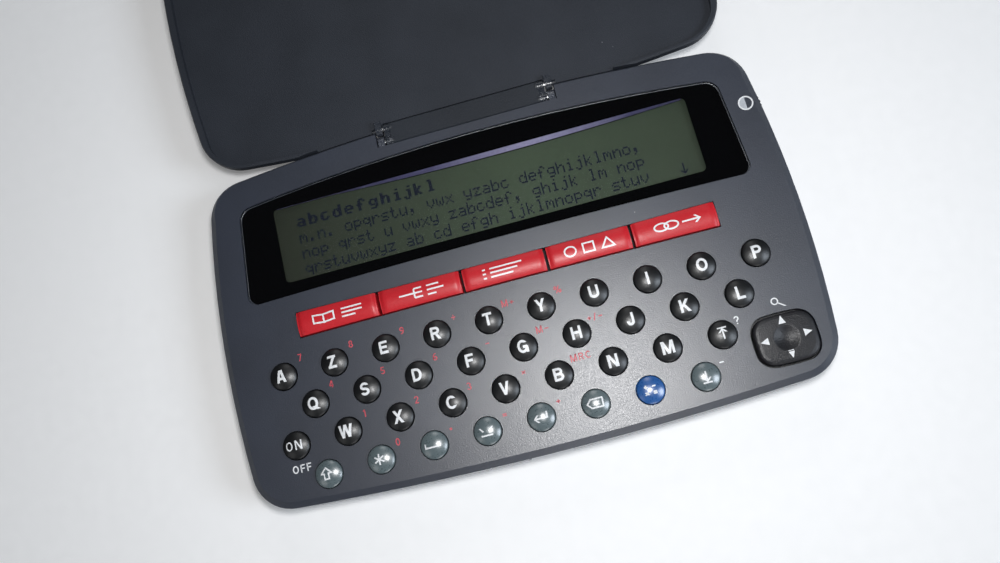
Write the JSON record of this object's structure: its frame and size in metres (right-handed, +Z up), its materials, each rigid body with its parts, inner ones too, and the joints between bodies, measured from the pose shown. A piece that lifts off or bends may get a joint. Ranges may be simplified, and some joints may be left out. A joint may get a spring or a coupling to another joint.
{
  "type": "electronic dictionary",
  "caption": "Pocket electronic dictionary lying open flat: domed round letter keys, red mode keys, a direction pad and a wide display, with a flip lid on a double hinge.",
  "frame": {"origin": "middle of the body's underside, in the plane that it rests on, half way between the crowns of the upper shell's front and rear edges", "axes": "+X to the right as the user reads the keys, +Y from the front edge towards the hinge and the open lid, +Z up out of the keyboard face"},
  "size_m": [0.1228, 0.1489, 0.0123],
  "materials": {
    "face_plastic": "fine-grained satin, dark blue grey",
    "lower_plastic": "fine-grained matte, darker blue grey",
    "lid_plastic": "fine-grained matte, very dark grey",
    "link_plastic": "fine-grained satin",
    "key_black": "glossy domed, white letter printed",
    "key_grey": "glossy domed, white symbol printed",
    "key_blue": "glossy domed, white symbol printed",
    "key_red": "glossy crowned, white symbol printed",
    "pad_plastic": "satin with a thumb dimple",
    "lens_acrylic": "mirror gloss, printed black behind, clear window",
    "display_glass": "grey-green reflective liquid crystal glass",
    "frame_plastic": "moulded",
    "strip_rubber": "matte",
    "sheet_rubber": "matte silicone",
    "board_laminate": "solder mask",
    "chip_plastic": "moulded",
    "cell_steel": "bright",
    "contact_brass": "plated",
    "screw_steel": "dull zinc",
    "pin_steel": "bright",
    "wheel_plastic": "satin, knurled rim"
  },
  "bodies": {
    "body": {"top_case": "face_plastic", "bottom_case": "lower_plastic", "coin_cells": "cell_steel", "battery_contacts": "contact_brass", "main_board": "board_laminate", "board_parts": "chip_plastic", "keypad_sheet": "sheet_rubber", "lcd_glass": "display_glass", "lcd_frame": "frame_plastic", "contact_strips": "strip_rubber", "display_lens": "lens_acrylic", "case_screws": "screw_steel"},
    "door": {"battery_door": "lower_plastic"},
    "link": {"hinge_link": "link_plastic", "hinge_pins": "pin_steel"},
    "lid": {"lid": "lid_plastic"},
    "pad_base": {"pad_post": "sheet_rubber"},
    "pad": {"direction_pad": "pad_plastic"},
    "wheel": {"contrast_wheel": "wheel_plastic"},
    "key_a": {"key_a": "key_black"},
    "key_z": {"key_z": "key_black"},
    "key_e": {"key_e": "key_black"},
    "key_r": {"key_r": "key_black"},
    "key_t": {"key_t": "key_black"},
    "key_y": {"key_y": "key_black"},
    "key_u": {"key_u": "key_black"},
    "key_i": {"key_i": "key_black"},
    "key_o": {"key_o": "key_black"},
    "key_p": {"key_p": "key_black"},
    "key_q": {"key_q": "key_black"},
    "key_s": {"key_s": "key_black"},
    "key_d": {"key_d": "key_black"},
    "key_f": {"key_f": "key_black"},
    "key_g": {"key_g": "key_black"},
    "key_h": {"key_h": "key_black"},
    "key_j": {"key_j": "key_black"},
    "key_k": {"key_k": "key_black"},
    "key_l": {"key_l": "key_black"},
    "key_on": {"key_on": "key_black"},
    "key_w": {"key_w": "key_black"},
    "key_x": {"key_x": "key_black"},
    "key_c": {"key_c": "key_black"},
    "key_v": {"key_v": "key_black"},
    "key_b": {"key_b": "key_black"},
    "key_n": {"key_n": "key_black"},
    "key_m": {"key_m": "key_black"},
    "key_back": {"key_back": "key_black"},
    "key_shift": {"key_shift": "key_grey"},
    "key_star": {"key_star": "key_grey"},
    "key_space": {"key_space": "key_grey"},
    "key_accent": {"key_accent": "key_grey"},
    "key_enter": {"key_enter": "key_grey"},
    "key_erase": {"key_erase": "key_grey"},
    "key_calc": {"key_calc": "key_blue"},
    "key_next": {"key_next": "key_grey"},
    "mode_key_1": {"mode_key_1": "key_red"},
    "mode_key_2": {"mode_key_2": "key_red"},
    "mode_key_3": {"mode_key_3": "key_red"},
    "mode_key_4": {"mode_key_4": "key_red"},
    "mode_key_5": {"mode_key_5": "key_red"}
  },
  "joints": [
    {"name": "link_hinge", "type": "hinge", "parent": "body", "child": "link", "pos_m": [0, 0.03513, 0.00965], "axis": [1, 0, 0], "range_deg": [0, 90]},
    {"name": "lid_hinge", "type": "hinge", "parent": "link", "child": "lid", "pos_m": [0, 0.03812, 0.00965], "axis": [1, 0, 0], "range_deg": [0, 90]},
    {"name": "battery_door_hinge", "type": "hinge", "parent": "body", "child": "door", "pos_m": [0, 0.02215, 0.0006], "axis": [1, 0, 0], "range_deg": [0, 80]},
    {"name": "contrast_turn", "type": "hinge", "parent": "body", "child": "wheel", "pos_m": [0.0563, 0.0215, 0.0074], "axis": [0, 0, 1], "range_deg": [-135, 135]},
    {"name": "pad_rock_front_back", "type": "hinge", "parent": "body", "child": "pad_base", "pos_m": [0.0499, -0.02728, 0.0078], "axis": [1, 0, 0], "range_deg": [-2.5, 2.5], "stiffness_Nm_per_rad": 0.05},
    {"name": "pad_rock_side", "type": "hinge", "parent": "pad_base", "child": "pad", "pos_m": [0.0499, -0.02728, 0.0078], "axis": [0, 1, 0], "range_deg": [-2.5, 2.5], "stiffness_Nm_per_rad": 0.05},
    {"name": "key_a_press", "type": "slide", "parent": "body", "child": "key_a", "axis": [0, 0, -1], "range_m": [0, 0.0007], "stiffness_N_per_m": 800},
    {"name": "key_z_press", "type": "slide", "parent": "body", "child": "key_z", "axis": [0, 0, -1], "range_m": [0, 0.0007], "stiffness_N_per_m": 800},
    {"name": "key_e_press", "type": "slide", "parent": "body", "child": "key_e", "axis": [0, 0, -1], "range_m": [0, 0.0007], "stiffness_N_per_m": 800},
    {"name": "key_r_press", "type": "slide", "parent": "body", "child": "key_r", "axis": [0, 0, -1], "range_m": [0, 0.0007], "stiffness_N_per_m": 800},
    {"name": "key_t_press", "type": "slide", "parent": "body", "child": "key_t", "axis": [0, 0, -1], "range_m": [0, 0.0007], "stiffness_N_per_m": 800},
    {"name": "key_y_press", "type": "slide", "parent": "body", "child": "key_y", "axis": [0, 0, -1], "range_m": [0, 0.0007], "stiffness_N_per_m": 800},
    {"name": "key_u_press", "type": "slide", "parent": "body", "child": "key_u", "axis": [0, 0, -1], "range_m": [0, 0.0007], "stiffness_N_per_m": 800},
    {"name": "key_i_press", "type": "slide", "parent": "body", "child": "key_i", "axis": [0, 0, -1], "range_m": [0, 0.0007], "stiffness_N_per_m": 800},
    {"name": "key_o_press", "type": "slide", "parent": "body", "child": "key_o", "axis": [0, 0, -1], "range_m": [0, 0.0007], "stiffness_N_per_m": 800},
    {"name": "key_p_press", "type": "slide", "parent": "body", "child": "key_p", "axis": [0, 0, -1], "range_m": [0, 0.0007], "stiffness_N_per_m": 800},
    {"name": "key_q_press", "type": "slide", "parent": "body", "child": "key_q", "axis": [0, 0, -1], "range_m": [0, 0.0007], "stiffness_N_per_m": 800},
    {"name": "key_s_press", "type": "slide", "parent": "body", "child": "key_s", "axis": [0, 0, -1], "range_m": [0, 0.0007], "stiffness_N_per_m": 800},
    {"name": "key_d_press", "type": "slide", "parent": "body", "child": "key_d", "axis": [0, 0, -1], "range_m": [0, 0.0007], "stiffness_N_per_m": 800},
    {"name": "key_f_press", "type": "slide", "parent": "body", "child": "key_f", "axis": [0, 0, -1], "range_m": [0, 0.0007], "stiffness_N_per_m": 800},
    {"name": "key_g_press", "type": "slide", "parent": "body", "child": "key_g", "axis": [0, 0, -1], "range_m": [0, 0.0007], "stiffness_N_per_m": 800},
    {"name": "key_h_press", "type": "slide", "parent": "body", "child": "key_h", "axis": [0, 0, -1], "range_m": [0, 0.0007], "stiffness_N_per_m": 800},
    {"name": "key_j_press", "type": "slide", "parent": "body", "child": "key_j", "axis": [0, 0, -1], "range_m": [0, 0.0007], "stiffness_N_per_m": 800},
    {"name": "key_k_press", "type": "slide", "parent": "body", "child": "key_k", "axis": [0, 0, -1], "range_m": [0, 0.0007], "stiffness_N_per_m": 800},
    {"name": "key_l_press", "type": "slide", "parent": "body", "child": "key_l", "axis": [0, 0, -1], "range_m": [0, 0.0007], "stiffness_N_per_m": 800},
    {"name": "key_on_press", "type": "slide", "parent": "body", "child": "key_on", "axis": [0, 0, -1], "range_m": [0, 0.0007], "stiffness_N_per_m": 800},
    {"name": "key_w_press", "type": "slide", "parent": "body", "child": "key_w", "axis": [0, 0, -1], "range_m": [0, 0.0007], "stiffness_N_per_m": 800},
    {"name": "key_x_press", "type": "slide", "parent": "body", "child": "key_x", "axis": [0, 0, -1], "range_m": [0, 0.0007], "stiffness_N_per_m": 800},
    {"name": "key_c_press", "type": "slide", "parent": "body", "child": "key_c", "axis": [0, 0, -1], "range_m": [0, 0.0007], "stiffness_N_per_m": 800},
    {"name": "key_v_press", "type": "slide", "parent": "body", "child": "key_v", "axis": [0, 0, -1], "range_m": [0, 0.0007], "stiffness_N_per_m": 800},
    {"name": "key_b_press", "type": "slide", "parent": "body", "child": "key_b", "axis": [0, 0, -1], "range_m": [0, 0.0007], "stiffness_N_per_m": 800},
    {"name": "key_n_press", "type": "slide", "parent": "body", "child": "key_n", "axis": [0, 0, -1], "range_m": [0, 0.0007], "stiffness_N_per_m": 800},
    {"name": "key_m_press", "type": "slide", "parent": "body", "child": "key_m", "axis": [0, 0, -1], "range_m": [0, 0.0007], "stiffness_N_per_m": 800},
    {"name": "key_back_press", "type": "slide", "parent": "body", "child": "key_back", "axis": [0, 0, -1], "range_m": [0, 0.0007], "stiffness_N_per_m": 800},
    {"name": "key_shift_press", "type": "slide", "parent": "body", "child": "key_shift", "axis": [0, 0, -1], "range_m": [0, 0.0007], "stiffness_N_per_m": 800},
    {"name": "key_star_press", "type": "slide", "parent": "body", "child": "key_star", "axis": [0, 0, -1], "range_m": [0, 0.0007], "stiffness_N_per_m": 800},
    {"name": "key_space_press", "type": "slide", "parent": "body", "child": "key_space", "axis": [0, 0, -1], "range_m": [0, 0.0007], "stiffness_N_per_m": 800},
    {"name": "key_accent_press", "type": "slide", "parent": "body", "child": "key_accent", "axis": [0, 0, -1], "range_m": [0, 0.0007], "stiffness_N_per_m": 800},
    {"name": "key_enter_press", "type": "slide", "parent": "body", "child": "key_enter", "axis": [0, 0, -1], "range_m": [0, 0.0007], "stiffness_N_per_m": 800},
    {"name": "key_erase_press", "type": "slide", "parent": "body", "child": "key_erase", "axis": [0, 0, -1], "range_m": [0, 0.0007], "stiffness_N_per_m": 800},
    {"name": "key_calc_press", "type": "slide", "parent": "body", "child": "key_calc", "axis": [0, 0, -1], "range_m": [0, 0.0007], "stiffness_N_per_m": 800},
    {"name": "key_next_press", "type": "slide", "parent": "body", "child": "key_next", "axis": [0, 0, -1], "range_m": [0, 0.0007], "stiffness_N_per_m": 800},
    {"name": "mode_key_1_press", "type": "slide", "parent": "body", "child": "mode_key_1", "axis": [0, 0, -1], "range_m": [0, 0.0007], "stiffness_N_per_m": 900},
    {"name": "mode_key_2_press", "type": "slide", "parent": "body", "child": "mode_key_2", "axis": [0, 0, -1], "range_m": [0, 0.0007], "stiffness_N_per_m": 900},
    {"name": "mode_key_3_press", "type": "slide", "parent": "body", "child": "mode_key_3", "axis": [0, 0, -1], "range_m": [0, 0.0007], "stiffness_N_per_m": 900},
    {"name": "mode_key_4_press", "type": "slide", "parent": "body", "child": "mode_key_4", "axis": [0, 0, -1], "range_m": [0, 0.0007], "stiffness_N_per_m": 900},
    {"name": "mode_key_5_press", "type": "slide", "parent": "body", "child": "mode_key_5", "axis": [0, 0, -1], "range_m": [0, 0.0007], "stiffness_N_per_m": 900}
  ]
}
